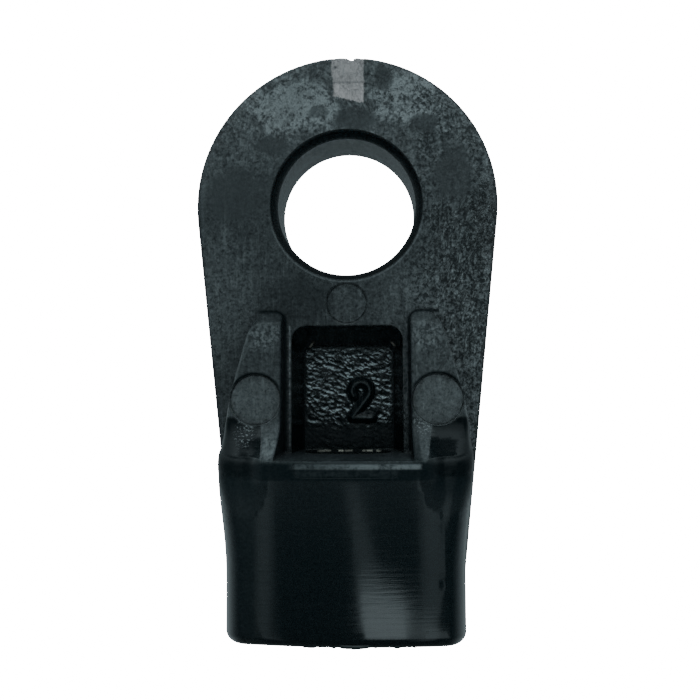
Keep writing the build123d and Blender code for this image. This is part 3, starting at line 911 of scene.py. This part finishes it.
def mouth_flash():
    """A ragged skin of plastic along the barrel's front rim, with one lump near the middle."""
    x = np.arange(FLASH_ENDS[0], FLASH_ENDS[1], FLASH_PITCH)
    line = np.column_stack([x, np.zeros_like(x), np.zeros_like(x)])
    shred = smooth(perlin(line, 1.3, 3, 31), -0.15, 0.5)
    lump = np.clip(1 - ((x - LUMP_MIDDLE) / LUMP_HALF_WIDTH) ** 2, 0, 1) ** 0.5
    lump = lump * (0.85 + 0.15 * perlin(line, 3.0, 2, 32))
    hang = np.clip(np.maximum(shred * 0.8, lump), 0.02, 1)
    short = FLASH_TOP - FLASH_SHORTEST
    foot = short - (short - FLASH_FOOT) * hang
    crown = x ** 2 / (2 * CROWN_RADIUS)
    front = FLASH_FRONT + crown - 0.2 * lump
    back = np.full_like(x, FLASH_BACK) + crown
    bm = bmesh.new()
    rings = []
    for i in range(len(x)):
        corners = ((front[i], FLASH_TOP), (front[i], foot[i] + 0.06), ((front[i] + back[i]) / 2, foot[i]),
                   (back[i], foot[i] + 0.04), (back[i], FLASH_TOP))
        rings.append([bm.verts.new(Vector((x[i], y, z)) * MM) for y, z in corners])
    for a, b in zip(rings, rings[1:]):
        for i in range(len(a)):
            j = (i + 1) % len(a)
            bm.faces.new((a[i], b[i], b[j], a[j]))
    bm.faces.new(rings[0])
    bm.faces.new(reversed(rings[-1]))
    bmesh.ops.recalc_face_normals(bm, faces=bm.faces)
    mesh = bpy.data.meshes.new("mouth_flash")
    bm.to_mesh(mesh)
    bm.free()
    mesh.shade_smooth()
    flash = link(bpy.data.objects.new("mouth_flash", mesh))
    put_material(flash, bpy.data.materials["body_plastic"])
    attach(flash, "body")
    return flash


# ---------------------------------------------------------------- stage, light and camera

BACKGROUND_GLOW = 22.0
STUDIO_TINT = (0.83, 1.0, 1.05)
FLOOR_SIZE = 4000.0
FLOOR_GAP = 0.02

# Two upright strips of light that the barrel's corners mirror: azimuths in degrees, softness, strength
STRIPS = ((-23.2, -19.6, 0.9, 0.42), (14.6, 20.4, 1.4, 0.46))

# The wedge of light that the barrel's front mirrors: each side's azimuth at eye level, and its slope
WEDGE_LEFT = (-4.84, 0.30)
WEDGE_RIGHT = (-5.48, 0.66)
FLARE_BELOW = 15.3
FLARE_SLOPE = 3.3


def add_floor():
    """A pale floor just under the barrel's mouth, hidden from mirrored rays."""
    bpy.ops.mesh.primitive_plane_add(size=FLOOR_SIZE * MM, location=(0, 0, (MOUTH_Z - FLOOR_GAP) * MM))
    floor = bpy.context.object
    floor.name = "floor"
    floor.visible_glossy = False
    put_material(floor, floor_material())


def studio_world():
    """White to the camera; to the object, dark ahead with a few soft lights, and bright from the sides on."""
    world = bpy.data.worlds.new("studio")
    bpy.context.scene.world = world
    world.use_nodes = True
    s = Shader(world.node_tree)
    background = world.node_tree.nodes["Background"]
    direction = s.add("ShaderNodeTexCoord")
    parts = world.node_tree.nodes.new("ShaderNodeSeparateXYZ")
    world.node_tree.links.new(direction, parts.inputs[0])
    x, y, z = parts.outputs
    front = s.math("MULTIPLY", y, -1.0)
    azimuth = s.times(s.math("ARCTAN2", x, front), 180 / math.pi)
    down = s.times(s.math("ARCSINE", z), -180 / math.pi)

    # Dark ahead, bright past the sides, dimmer again behind, and soft light from above
    room = s.times(s.step(front, 0.68, -0.25, 0.03, 0.82), s.step(z, -0.97, -0.6, 0.12, 1.0))
    behind = s.step(front, -0.55, -0.9, 0.0, -0.6)
    above = s.times(s.step(z, 0.3, 0.8, 0.0, 1.3), s.step(s.math("ABSOLUTE", x), 0.45, 0.12))
    haze = s.times(s.step(down, 15.0, 4.0, 0.0, 0.14), s.step(front, 0.2, 0.9))
    glow = s.plus(room, behind, above, haze)

    # The two dim strips
    level = s.times(s.step(z, -0.8, -0.5), s.step(z, 0.6, 0.2))
    strips = s.plus(*[s.times(s.band(azimuth, start, end, soft), dim) for start, end, soft, dim in STRIPS])
    glow = s.plus(glow, s.times(strips, level))

    # The wedge: narrow at the top, wide at the foot
    left_side = s.plus(WEDGE_LEFT[0], s.times(down, WEDGE_LEFT[1]))
    flare = s.past(down, FLARE_BELOW)
    right_side = s.plus(WEDGE_RIGHT[0], s.times(down, WEDGE_RIGHT[1]), s.times(flare, FLARE_SLOPE))
    within = s.times(s.step(s.math("SUBTRACT", azimuth, left_side), -0.5, 0.5),
                     s.step(s.math("SUBTRACT", azimuth, right_side), 1.6, -0.8))
    bright = s.plus(s.step(down, 14.5, 17.2, 0.42, 2.1), s.step(down, 12.5, 8.5, 0.0, 0.05))
    bright = s.times(bright, s.step(down, 5.0, 7.0), s.step(down, 27.0, 22.0))
    fade = s.step(azimuth, 9.5, 13.5, 1.0, 0.36)
    glow = s.plus(glow, s.times(within, bright, fade))

    seen = s.add("ShaderNodeLightPath")
    strength = s.plus(s.times(seen, BACKGROUND_GLOW), s.times(s.without(seen), glow))
    world.node_tree.links.new(strength, background.inputs["Strength"])
    world.node_tree.links.new(s.blend(seen, STUDIO_TINT, (1, 1, 1)), background.inputs["Color"])


def add_camera():
    """The camera, turned by its yaw, pitch and roll from looking straight at the front."""
    cos_yaw, sin_yaw = math.cos(CAMERA_YAW), math.sin(CAMERA_YAW)
    cos_pitch, sin_pitch = math.cos(CAMERA_PITCH), math.sin(CAMERA_PITCH)
    forward = Vector((-sin_yaw * cos_pitch, cos_yaw * cos_pitch, sin_pitch))
    level = Vector((cos_yaw, sin_yaw, 0))
    upward = level.cross(forward)
    right = math.cos(CAMERA_ROLL) * level + math.sin(CAMERA_ROLL) * upward
    up = math.cos(CAMERA_ROLL) * upward - math.sin(CAMERA_ROLL) * level
    data = bpy.data.cameras.new("camera")
    data.lens = LENS
    data.sensor_width = SENSOR
    data.clip_start = 0.001
    camera = link(bpy.data.objects.new("camera", data))
    turn = Matrix((right, up, -forward)).transposed().to_4x4()
    camera.matrix_world = Matrix.Translation(Vector(CAMERA_PLACE) * MM) @ turn
    bpy.context.scene.camera = camera


add_camera()
studio_world()
add_floor()
refined_body()
mouth_flash()
put_material(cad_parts["plunger"], button_material())
put_material(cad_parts["spring"], steel_material())
